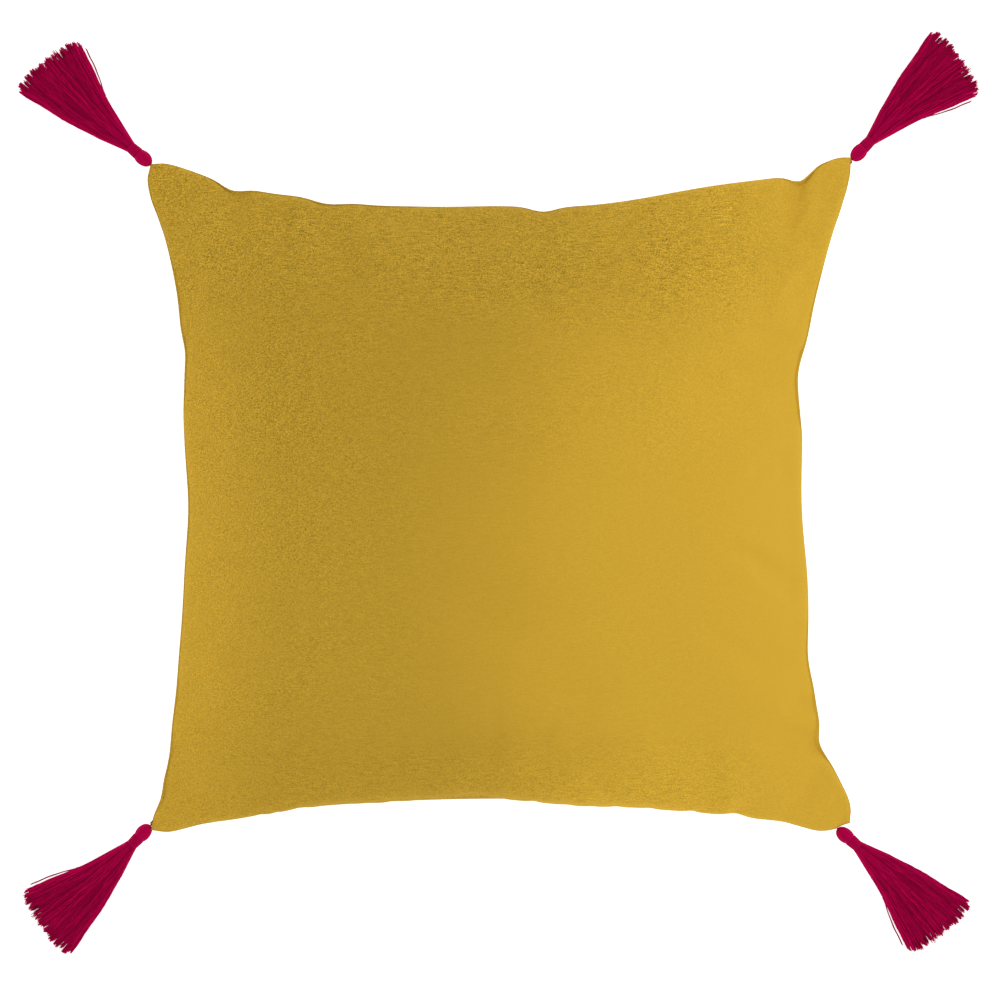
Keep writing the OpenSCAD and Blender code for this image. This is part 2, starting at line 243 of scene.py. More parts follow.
# %% [markdown]
# ## Puffing the panels with cloth
#
# Velvet over fibre is never a mathematical surface. Each panel is a net of square cells, held at the
# seam, that Blender's Cloth blows up a little, with the fabric slightly larger than its outline. The
# surplus gathers into soft waves near the seam. Carving them by hand would be quicker to run but hard
# to make convincing. How far a point may move is capped, so that the pillow keeps its size.

# %% Blow up one panel
NET = 84
FRAMES, CAP = 24, 7.0


def valleys(u, v):
    """Soft folds that run in from each notch of the seam."""
    depth = np.zeros_like(u)
    for side, across, along in (("top", v, HALF_L * u), ("bottom", -v, HALF_L * u),
                                ("right", u, HALF_W * v), ("left", -u, HALF_W * v)):
        inward = (1 - across) * 200
        reach = np.exp(-((inward - 14) / 22) ** 2)
        for place, height, spread in PUCKERS[side]:
            if height < 0:
                lean = place * (1 - inward / 900)
                depth += height * 0.7 * reach * np.exp(-0.5 * ((along - lean) / (spread + 2)) ** 2)
    return depth


def puffed(side):
    """The net of a panel after the cloth pass, as an array of points in millimetres."""
    line = np.linspace(-1, 1, NET + 1)
    u, v = np.meshgrid(line, line)
    net = panel_form(u, v, side)
    net[..., 2] += side * valleys(u, v)
    net[..., 2] = np.maximum(net[..., 2], 0.0)
    mesh = bpy.data.meshes.new("net")
    faces = grid_quads(NET + 1, NET + 1, flipped=side < 0)
    mesh.from_pydata((net.reshape(-1, 3) * MM).tolist(), [], faces.tolist())
    cloth_object = bpy.data.objects.new("net", mesh)
    bpy.context.scene.collection.objects.link(cloth_object)
    edge = np.zeros((NET + 1, NET + 1), bool)
    edge[[0, -1], :] = edge[:, [0, -1]] = True
    held = cloth_object.vertex_groups.new(name="held")
    held.add(np.flatnonzero(edge.ravel()).tolist(), 1.0, "REPLACE")
    modifier = cloth_object.modifiers.new("puff", "CLOTH")
    cloth = modifier.settings
    cloth.quality, cloth.mass = 6, 0.3
    cloth.tension_stiffness, cloth.compression_stiffness = 20, 20
    cloth.shear_stiffness, cloth.bending_stiffness = 6, 0.8
    cloth.tension_damping = cloth.compression_damping = 10
    cloth.vertex_group_mass = "held"
    cloth.use_pressure, cloth.uniform_pressure_force = True, 3.0
    cloth.shrink_min = cloth.shrink_max = -0.012
    cloth.effector_weights.gravity = 0
    modifier.collision_settings.use_collision = False
    modifier.point_cache.frame_start, modifier.point_cache.frame_end = 1, FRAMES
    for number in range(1, FRAMES + 1):
        bpy.context.scene.frame_set(number)
    shaped = cloth_object.evaluated_get(bpy.context.evaluated_depsgraph_get())
    flat = np.empty(len(mesh.vertices) * 3, np.float32)
    shaped.data.vertices.foreach_get("co", flat)
    bpy.data.objects.remove(cloth_object)
    bpy.data.meshes.remove(mesh)
    bpy.context.scene.frame_set(1)
    moved = flat.astype(float).reshape(net.shape) / MM - net
    far = np.linalg.norm(moved, axis=-1, keepdims=True)
    moved *= CAP * np.tanh(far / CAP) / np.maximum(far, 1e-9)
    print("side", side, "moved at most", round(float(far.max()), 1), "mm")
    net = net + moved
    net[..., 2] = np.maximum(net[..., 2], 0.0)
    return net


nets = {side: puffed(side) for side in (1, -1)}
print("nets:", nets[1].shape)

# %% [markdown]
# ## From net to fabric
#
# The net is coarse, so it is read through a smooth curve at many more places, close together beside
# the seam, where the fabric turns sharply. A subdivision surface would be as smooth, but its rows
# couldn't crowd where they are needed.


# %% Read the net smoothly, with rows crowded at the seam
def reading(places, count):
    """Weights that read a smooth curve through count evenly spaced points, at places from -1 to 1."""
    t = np.clip((np.asarray(places) + 1) / 2, 0, 1) * (count - 1)
    first = np.minimum(t.astype(int), count - 2)
    f = t - first
    weights = np.zeros((len(t), count))
    for shift, w in ((-1, -f + 2 * f ** 2 - f ** 3), (0, 2 - 5 * f ** 2 + 3 * f ** 3),
                     (1, f + 4 * f ** 2 - 3 * f ** 3), (2, -f ** 2 + f ** 3)):
        for row, (k, weight) in enumerate(zip(first + shift, w / 2)):
            if k < 0:
                weights[row, 0] += 2 * weight
                weights[row, 1] -= weight
            elif k >= count:
                weights[row, -1] += 2 * weight
                weights[row, -2] -= weight
            else:
                weights[row, k] += weight
    return weights


def crowded(half, step):
    """Places from -1 to 1: a few close rows at each edge, then even steps."""
    close = np.array([0, 0.5, 1.1, 1.9, 3.0, 4.4]) / half
    even = np.linspace(-1 + 6.4 / half, 1 - 6.4 / half, int(2 * half / step))
    return np.concatenate([-1 + close, even, (1 - close)[::-1]])


def read_net(net, us, vs):
    wu, wv = reading(us, NET + 1), reading(vs, NET + 1)
    return np.stack([wv @ net[..., k] @ wu.T for k in range(3)], -1)


def outward(points, side):
    """Unit normals of a grid of points, pointing out of the pillow."""
    across = np.cross(np.gradient(points, axis=1), np.gradient(points, axis=0)) * side
    return across / np.maximum(np.linalg.norm(across, axis=-1, keepdims=True), 1e-9)


us, vs = crowded(HALF_L, 2.6), crowded(HALF_W, 2.6)
print("rows and columns of a panel:", len(vs), len(us))

# %% [markdown]
# The velvet beside a seam rolls over it a little, because the seam allowance inside props it up. Along
# the zip the front panel rolls out further and makes a lip that hides the zip from above. Both rolls
# are pushes along the surface's own normals, with a profile over the distance from the seam.

# %% Lip, overhang and turned-in edge
LIP, LIP_AT, LIP_SPREAD = 0.9, 2.6, 2.4
HANG_AT, HANG_BACK = 3.5, 40.0
TURN_IN = (1.2, 3.0, 5.0)


def edge_distance(us, vs):
    """Distance from the nearest side, in millimetres, for a grid of places."""
    from_sides = (1 - np.abs(us))[None, :] * HALF_L
    from_ends = (1 - np.abs(vs))[:, None] * HALF_W
    return np.minimum(from_sides, from_ends)


def panel_surface(side):
    points = read_net(nets[side], us, vs)
    away = edge_distance(us, vs)
    roll = LIP * np.exp(-((away - LIP_AT) / LIP_SPREAD) ** 2) * smooth_step(away / 1.5)
    points = points + outward(points, side) * roll[..., None]
    if side > 0:
        x = points[..., 0]
        away_bottom = ((vs + 1) * HALF_W)[:, None] * np.ones_like(x)
        rise = smooth_step(away_bottom / HANG_AT)
        rise = rise * (1 - smooth_step((away_bottom - HANG_AT) / HANG_BACK))
        points[..., 1] -= rise * zip_share(x) * (puckering("bottom", x) + away_bottom)
    points[..., 2] = np.maximum(points[..., 2], 0.0)
    return points


def with_turned_edge(points, side):
    """Adds rows round the panel that fold inwards behind the seam."""
    grown = np.pad(points, ((3, 3), (3, 3), (0, 0)), mode="edge")
    n, m = points.shape[:2]
    centre = points[n // 2, m // 2]
    for k, depth in enumerate(TURN_IN):
        ring = 2 - k
        for cells in ((ring, slice(ring, m + 6 - ring)), (n + 5 - ring, slice(ring, m + 6 - ring)),
                      (slice(ring, n + 6 - ring), ring), (slice(ring, n + 6 - ring), m + 5 - ring)):
            edge = grown[cells].copy()
            inward = centre[:2] - edge[..., :2]
            square = np.sign(inward) * np.abs(inward) ** 4
            inward = square / np.maximum(np.linalg.norm(square, axis=-1, keepdims=True), 1e-9)
            edge[..., :2] += inward * depth
            edge[..., 2] += side * 0.25
            grown[cells] = edge
    return grown


surfaces = {side: panel_surface(side) for side in (1, -1)}
flat_list = surfaces[1].reshape(-1, 3)
print("front panel:", flat_list.min(0).round(1), flat_list.max(0).round(1))


# %% [markdown]
# Cloth has a thickness, so every sheet is a closed solid: the outer surface, a copy of it further in
# and a rim between them. The same rim closes the filling and the middle of a tassel. A Solidify
# modifier would do for even cloth, but here the sheet thins towards the seam, where it is pressed.


# %% Close the gap between two grids
def closed_between(top, bottom, flipped=False):
    """A closed solid between two grids of points, with the top one facing up unless flipped."""
    n, m = top.shape[:2]
    count = n * m
    ids = np.arange(count).reshape(n, m)
    ring = np.concatenate([ids[0, :-1], ids[:-1, -1], ids[-1, :0:-1], ids[:0:-1, 0]])
    after = np.roll(ring, -1)
    rim = np.stack([ring, ring + count, after + count, after], 1)
    faces = np.concatenate([grid_quads(n, m, flipped), grid_quads(n, m, not flipped) + count,
                            rim[:, ::-1] if flipped else rim])
    return np.concatenate([top.reshape(-1, 3), bottom.reshape(-1, 3)]), faces.tolist()


def shell(points, side, top, bottom):
    """A closed sheet between two depths below a grid of points. Depths are numbers or grids."""
    normal = outward(points, side)
    outer, inner = (points - normal * np.broadcast_to(depth, points.shape[:2])[..., None]
                    for depth in (top, bottom))
    return closed_between(outer, inner, side < 0)


print("shell maker ready")

# %% [markdown]
# ## Velvet
#
# Velvet is a forest of short, upright fibres. Three things make it read as velvet: a sheen at grazing
# angles, a fine mottled grain, and broad patches that are lighter or darker. Here the broad patches are
# painted light and shade in the colour, with a painted sheen along the left edge besides the shader's
# own sheen. The grain is a mix of fine noise and faint level streaks, the painted light and shade is a
# smooth map over the cloth, and all of them are made from the place on the object, so they stay put when
# it turns.


# %% Node helpers
class Nodes:
    """Builds a material's node tree with short calls."""

    def __init__(self, name):
        self.material = bpy.data.materials.new(name)
        self.material.use_nodes = True
        self.tree = self.material.node_tree
        self.shader = self.tree.nodes["Principled BSDF"]
        self.place = self.node("ShaderNodeTexCoord").outputs["Object"]

    def node(self, kind, **settings):
        made = self.tree.nodes.new(kind)
        for key, value in settings.items():
            setattr(made, key, value)
        return made

    def put(self, socket, value):
        if hasattr(value, "is_output"):
            self.tree.links.new(value, socket)
        else:
            socket.default_value = value

    def math(self, operation, a, b=0.0, clamp=False):
        made = self.node("ShaderNodeMath", operation=operation, use_clamp=clamp)
        self.put(made.inputs[0], a)
        self.put(made.inputs[1], b)
        return made.outputs[0]

    def plus(self, a, b, clamp=False):
        return self.math("ADD", a, b, clamp)

    def minus(self, a, b):
        return self.math("SUBTRACT", a, b)

    def times(self, a, b):
        return self.math("MULTIPLY", a, b)

    def ripple(self, value, pitch_mm):
        """A sine wave along a place."""
        return self.math("SINE", self.times(value, 2 * math.pi / (pitch_mm * MM)))

    def axes(self):
        split = self.node("ShaderNodeSeparateXYZ")
        self.put(split.inputs[0], self.place)
        return split.outputs

    def ramp(self, value, low, high, to_low=0.0, to_high=1.0, kind="SMOOTHSTEP"):
        """A soft change from one number to another, level beyond its ends."""
        made = self.node("ShaderNodeMapRange", interpolation_type=kind)
        for socket, x in zip(made.inputs, (value, low, high, to_low, to_high)):
            self.put(socket, x)
        return made.outputs[0]

    def line(self, *numbers):
        """The same change, but straight."""
        return self.ramp(*numbers, kind="LINEAR")

    def noise(self, size_mm, detail=2.0, stretch=(1, 1, 1), roughness=0.5):
        """Noise with features of about size_mm, longer along axes with a small stretch."""
        mapping = self.node("ShaderNodeMapping")
        self.put(mapping.inputs["Vector"], self.place)
        mapping.inputs["Scale"].default_value = stretch
        made = self.node("ShaderNodeTexNoise")
        self.put(made.inputs["Vector"], mapping.outputs[0])
        made.inputs["Scale"].default_value = 1 / (size_mm * MM)
        made.inputs["Detail"].default_value = detail
        made.inputs["Roughness"].default_value = roughness
        return made.outputs["Fac"]

    def mix(self, share, a, b):
        made = self.node("ShaderNodeMix", data_type="RGBA")
        self.put(made.inputs[0], share)
        self.put(made.inputs[6], a)
        self.put(made.inputs[7], b)
        return made.outputs[2]

    def bump(self, height, depth_mm, strength=1.0):
        made = self.node("ShaderNodeBump")
        made.inputs["Distance"].default_value = depth_mm * MM
        made.inputs["Strength"].default_value = strength
        self.put(made.inputs["Height"], height)
        self.put(self.shader.inputs["Normal"], made.outputs[0])

    def finish(self, colour, roughness, **sockets):
        self.put(self.shader.inputs["Base Color"], colour)
        self.put(self.shader.inputs["Roughness"], roughness)
        for name, value in sockets.items():
            self.shader.inputs[name.replace("_", " ")].default_value = value
        return self.material


print("node helpers ready")

# %% [markdown]
# The colour of the pile carries painted light and shade: painted shade a little left of the middle,
# where it is darkest, painted light on the right, and a painted sheen along the left edge. The grain
# shows most where the pile stands up to the light, along the top and the left. Both are laid out in
# metres on the pillow. One even colour would look like felt.

# %% Mix the velvet
PILE_IN_PAINTED_SHADE, PILE_IN_PAINTED_LIGHT = paint(173, 138, 43), paint(204, 162, 51)
GRAIN, STREAK = 2.15, 0.9


def painted_light_and_shade(n, x, y):
    """Painted light and shade, about 0 to 1: painted shade left of the middle, painted light on the
    right.
    """
    upper = n.math("POWER", n.line(y, -0.030, 0.144), 2.2)
    lower = n.math("POWER", n.line(y, -0.076, -0.150), 2.0)
    middle = n.plus(n.times(upper, 0.105), n.times(lower, 0.027))
    wide = n.line(y, -0.030, 0.144, 0.075, 0.118)
    cloudy = n.times(n.minus(n.noise(70, 2.0), 0.5), 0.06)
    past = n.plus(n.minus(n.minus(x, middle), 0.005), cloudy)
    turned = n.ramp(n.math("DIVIDE", past, wide), -1.0, 1.0)
    base = n.plus(n.line(y, 0.150, -0.050, -0.12, 0.18), n.line(y, -0.115, -0.165, 0.0, -0.17))
    # left is a painted sheen: the colour grows lighter towards the left edge
    left = n.times(n.ramp(x, -0.125, -0.210, 0.0, 0.52), n.line(y, 0.080, 0.160, 1.0, 0.6))
    rest = n.minus(0.94, base)
    lean = n.plus(base, n.times(turned, rest))
    return n.plus(lean, n.times(left, n.minus(1.0, turned)))


def grain_amount(n, x, y):
    """How strong the grain is: most along the top and the left, least on the right."""
    top = n.ramp(y, 0.060, 0.150, 0.0, 1.0)
    left = n.ramp(x, 0.030, -0.150, 0.0, 0.85)
    bottom = n.ramp(y, -0.120, -0.185, 0.0, 0.6)
    left = n.times(left, n.ramp(y, -0.2, 0.1, 0.6, 1.0))
    least = n.ramp(y, -0.010, 0.060, 0.16, 0.36)
    strong = n.math("MAXIMUM", n.math("MAXIMUM", top, left), n.math("MAXIMUM", bottom, least))
    return n.times(strong, n.ramp(x, 0.120, 0.180, 1.0, 0.35))


def velvet_finish():
    n = Nodes("mustard velvet")
    x, y, _ = n.axes()
    # lean is the painted light and shade map over the pile
    lean = painted_light_and_shade(n, x, y)
    grain = n.minus(n.noise(0.75, 1.0, roughness=0.8), 0.5)
    streak = n.minus(n.noise(0.9, 2.0, stretch=(0.13, 1, 1)), 0.5)
    texture = n.plus(n.times(grain, GRAIN), n.times(streak, STREAK))
    uneven = n.times(grain_amount(n, x, y), n.ramp(n.noise(28, 3.0), 0.3, 0.7, 0.8, 1.15))
    mottle = n.plus(1.0, n.times(texture, uneven))
    # The two ends are the same velvet in painted shade and in painted light.
    pile = n.mix(n.math("DIVIDE", n.plus(lean, 0.16), 1.16, clamp=True), PILE_IN_PAINTED_SHADE, PILE_IN_PAINTED_LIGHT)
    shaded = n.node("ShaderNodeVectorMath", operation="SCALE")
    n.put(shaded.inputs[0], pile)
    n.put(shaded.inputs["Scale"], mottle)
    n.bump(n.plus(grain, n.times(streak, 0.8)), 0.35, 0.3)
    return n.finish(shaded.outputs[0], 1.0, Sheen_Weight=0.06, Sheen_Roughness=0.5,
                    Sheen_Tint=paint(235, 200, 95), Specular_IOR_Level=0.05)


velvet = velvet_finish()
print("velvet nodes:", len(velvet.node_tree.nodes))

# %% [markdown]
# ## The cover
#
# Front and back are separate pieces of velvet, as they are cut, each with its seam allowance turned in.
# Both are stuffed.

# %% Cut the front and back panels
THICK, THIN = 1.2, 0.45


def cover_panel(name, side, node):
    sheet = with_turned_edge(surfaces[side], side)
    away = np.pad(edge_distance(us, vs), 3, constant_values=0.0)
    depth = THIN + (THICK - THIN) * smooth_step(away / 9)
    points, faces = shell(sheet, side, 0.0, depth)
    piece = new_piece(name, points, faces, "cushion", [node], velvet)
    print(name, "faces:", len(faces))
    return piece


front = cover_panel("velvet_front", 1, "cover_front")
back = cover_panel("velvet_back", -1, "cover_back")

# %% [markdown]
# ## The insert
#
# Inside the velvet is a plain cotton casing, a smaller pillow in itself, full of loose fibre. Nobody
# sees them unless the zip is open, but the part is built from them, so they follow the same puffed
# surfaces a little further in. They use every third row, which is plenty for something out of sight.


# %% Cotton and fibre finishes
def cotton_finish():
    n = Nodes("cotton casing")
    x, y, _ = n.axes()
    warp = n.ripple(x, 0.9)
    weft = n.ripple(y, 0.9)
    weave = n.times(warp, weft)
    colour = n.mix(n.ramp(weave, -1.0, 1.0), paint(226, 221, 208), paint(244, 241, 232))
    n.bump(weave, 0.15, 0.4)
    return n.finish(colour, 0.9, Specular_IOR_Level=0.2)


def fibre_finish():
    n = Nodes("loose fibre")
    fluff = n.noise(7, 5.0, roughness=0.7)
    n.bump(fluff, 3.0, 0.6)
    return n.finish(n.mix(fluff, paint(225, 225, 222), paint(250, 250, 248)), 1.0,
                    Specular_IOR_Level=0.1)


cotton, fibre = cotton_finish(), fibre_finish()
print("finishes:", cotton.name, fibre.name)

# %% [markdown]
# The casing is two sheets like the cover's, but with no turned edge, and the filling is one closed
# lump between them. Depths are counted inwards from the cover, so nothing can poke out of it.

# %% Casing and filling
INSET, INNER_STEP, CASING_FROM, CASING_TO, FIBRE_FROM = 15.0, 7.8, 1.8, 2.6, 3.2


def inside_panel(side):
    line = np.arange(-1 + INSET / HALF_L, 1 - INSET / HALF_L + 1e-6, INNER_STEP / HALF_L)
    return read_net(nets[side], line, line)


for name, side, node in (("casing_front", 1, "insert_front"), ("casing_back", -1, "insert_back")):
    points, faces = shell(inside_panel(side), side, CASING_FROM, CASING_TO)
    new_piece(name, points, faces, "cushion", [node], cotton)

top_points, bottom_points = (inside_panel(side) - outward(inside_panel(side), side) * FIBRE_FROM
                             for side in (1, -1))
points, faces = closed_between(top_points, bottom_points)
new_piece("fibre_filling", points, faces, "cushion", ["filling"], fibre)
print("insert made")

# %% [markdown]
# ## Threads
#
# Yarn, cord, stitches and zip coils are all tubes along a path. One helper makes thousands at once
# from an array of paths. A direction that no tube runs along keeps the rings from twisting. Strands
# also carry a number, their shade, so that neighbours differ in colour.


# %% Many tubes in one mesh
def tubes(paths, radius, away_from, sides=5, closed=False):
    """Points, faces and ring count for paths of shape (tubes, steps, 3), in millimetres."""
    paths = np.asarray(paths, float)
    count, steps = paths.shape[:2]
    if closed:
        ahead = np.roll(paths, -1, 1) - np.roll(paths, 1, 1)
    else:
        ahead = np.gradient(paths, axis=1)
    ahead /= np.maximum(np.linalg.norm(ahead, axis=-1, keepdims=True), 1e-9)
    aside = np.cross(ahead, np.broadcast_to(away_from, paths.shape))
    aside /= np.maximum(np.linalg.norm(aside, axis=-1, keepdims=True), 1e-9)
    up = np.cross(aside, ahead)
    turn = np.arange(sides) * 2 * math.pi / sides
    radius = np.broadcast_to(radius, (count, steps))[..., None, None]
    ring = aside[:, :, None] * np.cos(turn)[:, None] + up[:, :, None] * np.sin(turn)[:, None]
    points = (paths[:, :, None] + ring * radius).reshape(-1, 3)
    ids = np.arange(count * steps * sides).reshape(count, steps, sides)
    nxt = np.roll(ids, -1, 1) if closed else ids[:, 1:]
    here = ids if closed else ids[:, :-1]
    quads = np.stack([here, np.roll(here, -1, 2), np.roll(nxt, -1, 2), nxt], -1).reshape(-1, 4)
    faces = quads.tolist()
    if not closed:
        faces += ids[:, 0, ::-1].tolist() + ids[:, -1].tolist()
    return points, faces, steps * sides


def set_shade(piece, shades):
    """Writes one shade from 0 to 1 for every point of a piece."""
    attribute = piece.data.attributes.new("shade", "FLOAT", "POINT")
    attribute.data.foreach_set("value", np.asarray(shades, np.float32))


print("tube maker ready")

# %% [markdown]
# ## The zip
#
# The zip follows the arc of the bottom seam, and its slider travels on it, so everything here is
# placed by distance along the seam, depth behind it and height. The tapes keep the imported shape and
# get a woven finish. The two coils are half a turn out of step, so that they mesh.

# %% A place on the zip's arc
arc_x, arc_y, arc_z = (c / MM for c in joints["zip_run"]["pos_m"])
ARC_R = -HALF_W + SAG["bottom"] - arc_y
STOP_L, SLIDER_L = 2.5, 8.0


def on_zip(along, deep, high):
    """Points at distances along the seam, behind it and above it."""
    turn = np.asarray(along) / ARC_R
    return np.stack([arc_x + np.sin(turn) * (ARC_R + deep), arc_y + np.cos(turn) * (ARC_R + deep),
                     arc_z + high + 0 * turn], -1)


print("zip arc radius", round(ARC_R, 1), "mm")


# %% [markdown]
# Woven tape, nylon wire and plated metal differ mostly in how sharply they shine. The tape gets a
# herringbone in its weave, the nylon a faint unevenness and the metal fine scratches.


# %% Zip finishes
def tape_finish():
    n = Nodes("zip tape")
    x, _, z = n.axes()
    slant = n.plus(x, n.math("ABSOLUTE", n.minus(z, arc_z * MM)))
    twill = n.ripple(slant, 0.8)
    n.bump(twill, 0.12, 0.6)
    return n.finish(n.mix(n.ramp(twill, -1.0, 1.0), paint(150, 116, 32), paint(192, 152, 46)), 0.85,
                    Specular_IOR_Level=0.2)


def nylon_finish():
    n = Nodes("zip coil")
    tone = n.noise(3, 2.0)
    n.bump(tone, 0.05, 0.3)
    return n.finish(n.mix(tone, paint(176, 138, 40), paint(208, 168, 58)), 0.4,
                    Specular_IOR_Level=0.45)


def metal_finish():
    n = Nodes("zip metal")
    wear = n.noise(1.5, 4.0, roughness=0.6)
    scratch = n.noise(0.5, 2.0, stretch=(1, 1, 0.08))
    n.bump(scratch, 0.02, 0.25)
    return n.finish(n.mix(wear, paint(150, 147, 142), paint(205, 203, 198)),
                    n.ramp(wear, 0.2, 0.8, 0.22, 0.42), Metallic=1.0)


tape, nylon, metal = tape_finish(), nylon_finish(), metal_finish()
for node in ("zip_tape_front", "zip_tape_back"):
    mesh = frame["nodes"][node].data
    mesh.materials.clear()
    mesh.materials.append(tape)
print("tapes dressed")

# %% [markdown]
# A coil is one nylon wire wound in a flattened helix. Ten straight steps to a turn are enough for a
# wire this fine. Single teeth would be a moulded zip, which is coarser and rare on cushions.

# %% Wind the coils
COIL_PITCH, COIL_STEPS, WIRE = 1.3, 10, 0.14
COIL_DEEP, COIL_DEEP_R, COIL_HIGH, COIL_HIGH_R = 1.88, 0.52, 0.6, 0.42
for name, side, node in (("coil_front", 1, "zip_coil_front"), ("coil_back", -1, "zip_coil_back")):
    reach = ZIP_HALF - STOP_L
    turns = int(2 * reach / COIL_PITCH)
    t = np.arange(turns * COIL_STEPS + 1) / COIL_STEPS
    phase = 2 * math.pi * t + (math.pi if side < 0 else 0)
    path = on_zip(-reach + t * COIL_PITCH, COIL_DEEP + COIL_DEEP_R * np.cos(phase),
                  side * (COIL_HIGH + COIL_HIGH_R * np.sin(phase)))
    points, faces, _ = tubes(path[None], WIRE, (1, 0, 0.001), 6)
    new_piece(name, points, faces, "cushion", [node], nylon)
print("turns in each coil:", turns)


# %% [markdown]
# The slider, pull and stops have the right shapes already, but pressed and cast metal never has knife
# edges. A copy of each gets a fine bevel, which catches the light along every edge.


# %% Bevel copies of the metal pieces
def bevelled(name, node, body, width_mm):
    copy = frame["nodes"][node].data.copy()
    copy.name = name
    build = bmesh.new()
    build.from_mesh(copy)
    bmesh.ops.remove_doubles(build, verts=build.verts, dist=1e-6)
    bmesh.ops.dissolve_limit(build, angle_limit=math.radians(1.5), verts=build.verts,
                             edges=build.edges)
    sharp = [e for e in build.edges
             if len(e.link_faces) == 2 and e.calc_face_angle(0) > math.radians(35)]
    bmesh.ops.bevel(build, geom=sharp, offset=width_mm * MM, segments=2, profile=0.6,
                    affect="EDGES", clamp_overlap=True)
    build.to_mesh(copy)
    build.free()
    copy.shade_smooth()
    copy.set_sharp_from_angle(angle=math.radians(40))
    place_mesh(name, copy, body, [node], metal)
    print(name, "faces:", len(copy.polygons))


for piece_of_zip in (("slider_body", "zip_slider", "zip_slider", 0.12),
                     ("pull_tab", "zip_pull", "zip_pull", 0.12),
                     ("stop_top", "zip_top_stop", "cushion", 0.2),
                     ("stop_bottom", "zip_bottom_stop", "cushion", 0.2)):
    bevelled(*piece_of_zip)

# %% [markdown]
# Each lip of the mouth is topstitched to its tape. A stitch is a short arch of thread: it comes up
# through the velvet, lies on it and goes down again. They are laid along the panel's own surface.


# %% Thread and the topstitching
def thread_finish():
    n = Nodes("sewing thread")
    tone = n.noise(0.8, 2.0)
    n.bump(tone, 0.05, 0.5)
    return n.finish(n.mix(tone, paint(170, 132, 38), paint(214, 172, 60)), 0.6, Sheen_Weight=0.2)


thread = thread_finish()
STITCH, STITCH_GAP, STITCH_R, STITCH_IN = 2.6, 0.9, 0.2, 1.2


def topstitching(name, side):
    row = int(np.argmin(np.abs((vs + 1) * HALF_W - STITCH_IN)))
    line = surfaces[side][row]
    lift = outward(surfaces[side], side)[row]
    starts = np.arange(-ZIP_HALF - 4, ZIP_HALF + 4, STITCH + STITCH_GAP)
    t = np.linspace(0, 1, 6)
    x = starts[:, None] + t * STITCH
    place = np.stack([np.interp(x, line[:, 0], line[:, k]) for k in range(3)], -1)
    normal = np.stack([np.interp(x, line[:, 0], lift[:, k]) for k in range(3)], -1)
    height = 0.16 - 0.42 * (2 * t - 1) ** 6
    points, faces, _ = tubes(place + normal * height[:, None], STITCH_R, (0, 0.3, 1), 5)
    new_piece(name, points, faces, "cushion", [], thread)
    print(name, "stitches:", len(starts))


topstitching("stitching_front", 1)
topstitching("stitching_back", -1)

# %% [markdown]
# ## The care label
#
# A blank satin label, folded once and caught in the left seam, inside the cover. It is a thin folded
# strip, so that it is a real ribbon and not a card.

# %% Fold the label
LABEL_T = 0.16


def label_finish():
    n = Nodes("label satin")
    _, y, _ = n.axes()
    rib = n.ripple(y, 0.5)
    n.bump(rib, 0.05, 0.4)
    return n.finish(n.mix(n.ramp(rib, -1.0, 1.0), paint(232, 232, 230), paint(248, 248, 246)), 0.45,
                    Specular_IOR_Level=0.4)


low, high = (np.array(c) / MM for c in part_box("care_label"))
along = np.linspace(low[1], high[1], 24)
t = np.linspace(0, 1, 15)
fold_r = (high[2] - low[2]) / 2 - LABEL_T / 2
run = high[0] - low[0] - fold_r
upper = t < 0.45
lower = t > 0.55
turn = np.clip((t - 0.45) / 0.10, 0, 1) * math.pi
profile_x = np.where(upper, low[0] + run * t / 0.45, np.where(lower, low[0] + run * (1 - t) / 0.45,
                     low[0] + run + fold_r * np.sin(turn)))
profile_z = (low[2] + high[2]) / 2 + fold_r * np.cos(turn)
sheet = np.stack([np.broadcast_to(profile_x, (24, 15)), np.broadcast_to(along[:, None], (24, 15)),
                  np.broadcast_to(profile_z, (24, 15))], -1)
points, faces = shell(sheet, 1, -LABEL_T / 2, LABEL_T / 2)
new_piece("satin_label", points, faces, "cushion", ["care_label"], label_finish())
print("label", (high - low).round(1))

# %% [markdown]
# ## Tassel yarn
#
# The yarn is a silky crimson rayon. Strands differ a little in depth of colour, and the light sinks
# between them, so the finish reads each strand's own shade and adds fine dark streaks along it. The
# hidden cores and the middle leaf get a dark shade, which is painted shade in the gaps between strands.


# %% Yarn finish
def yarn_finish():
    n = Nodes("crimson yarn")
    own = n.node("ShaderNodeAttribute", attribute_name="shade").outputs["Fac"]
    fleck = n.noise(1.2, 3.0, roughness=0.6)
    uneven = n.times(n.minus(fleck, 0.5), 0.5)
    tone = n.plus(n.times(own, 0.85), uneven, clamp=True)
    colour = n.mix(tone, paint(122, 0, 44), paint(206, 0, 84))
    n.bump(fleck, 0.10, 0.4)
    return n.finish(colour, n.ramp(tone, 0.0, 1.0, 0.8, 0.6), Specular_IOR_Level=0.03)


yarn = yarn_finish()
print("yarn nodes:", len(yarn.node_tree.nodes))

# %% [markdown]
# ## A tassel, in its own space
#
# A tassel is made of yarn folded over a cord, bound with thread below the fold and cut at the end.
# All four are the same, so one is made lying along X, with the loop's bar at the start, and then set
# at each corner. Each tassel leans down from its corner to the table.

# %% Where each tassel hangs
CORNERS = ("top_right", "top_left", "bottom_left", "bottom_right")
HEAD_L, HEAD_R, NECK_L, NECK_R, SKIRT_L = 10.5, 4.6, 7.5, 3.8, 76.0
EYE_R, CORD_R, TACK_R = 1.15, 0.45, 0.5
HEAD_X = EYE_R
NECK_X = HEAD_X + HEAD_L
SKIRT_X = NECK_X + NECK_L
SKIRT_T, AIR, TURN = 2.4, 0.3, 0.055
lean = math.asin((TIP_H - SKIRT_T - AIR) / (SKIRT_X + SKIRT_L))


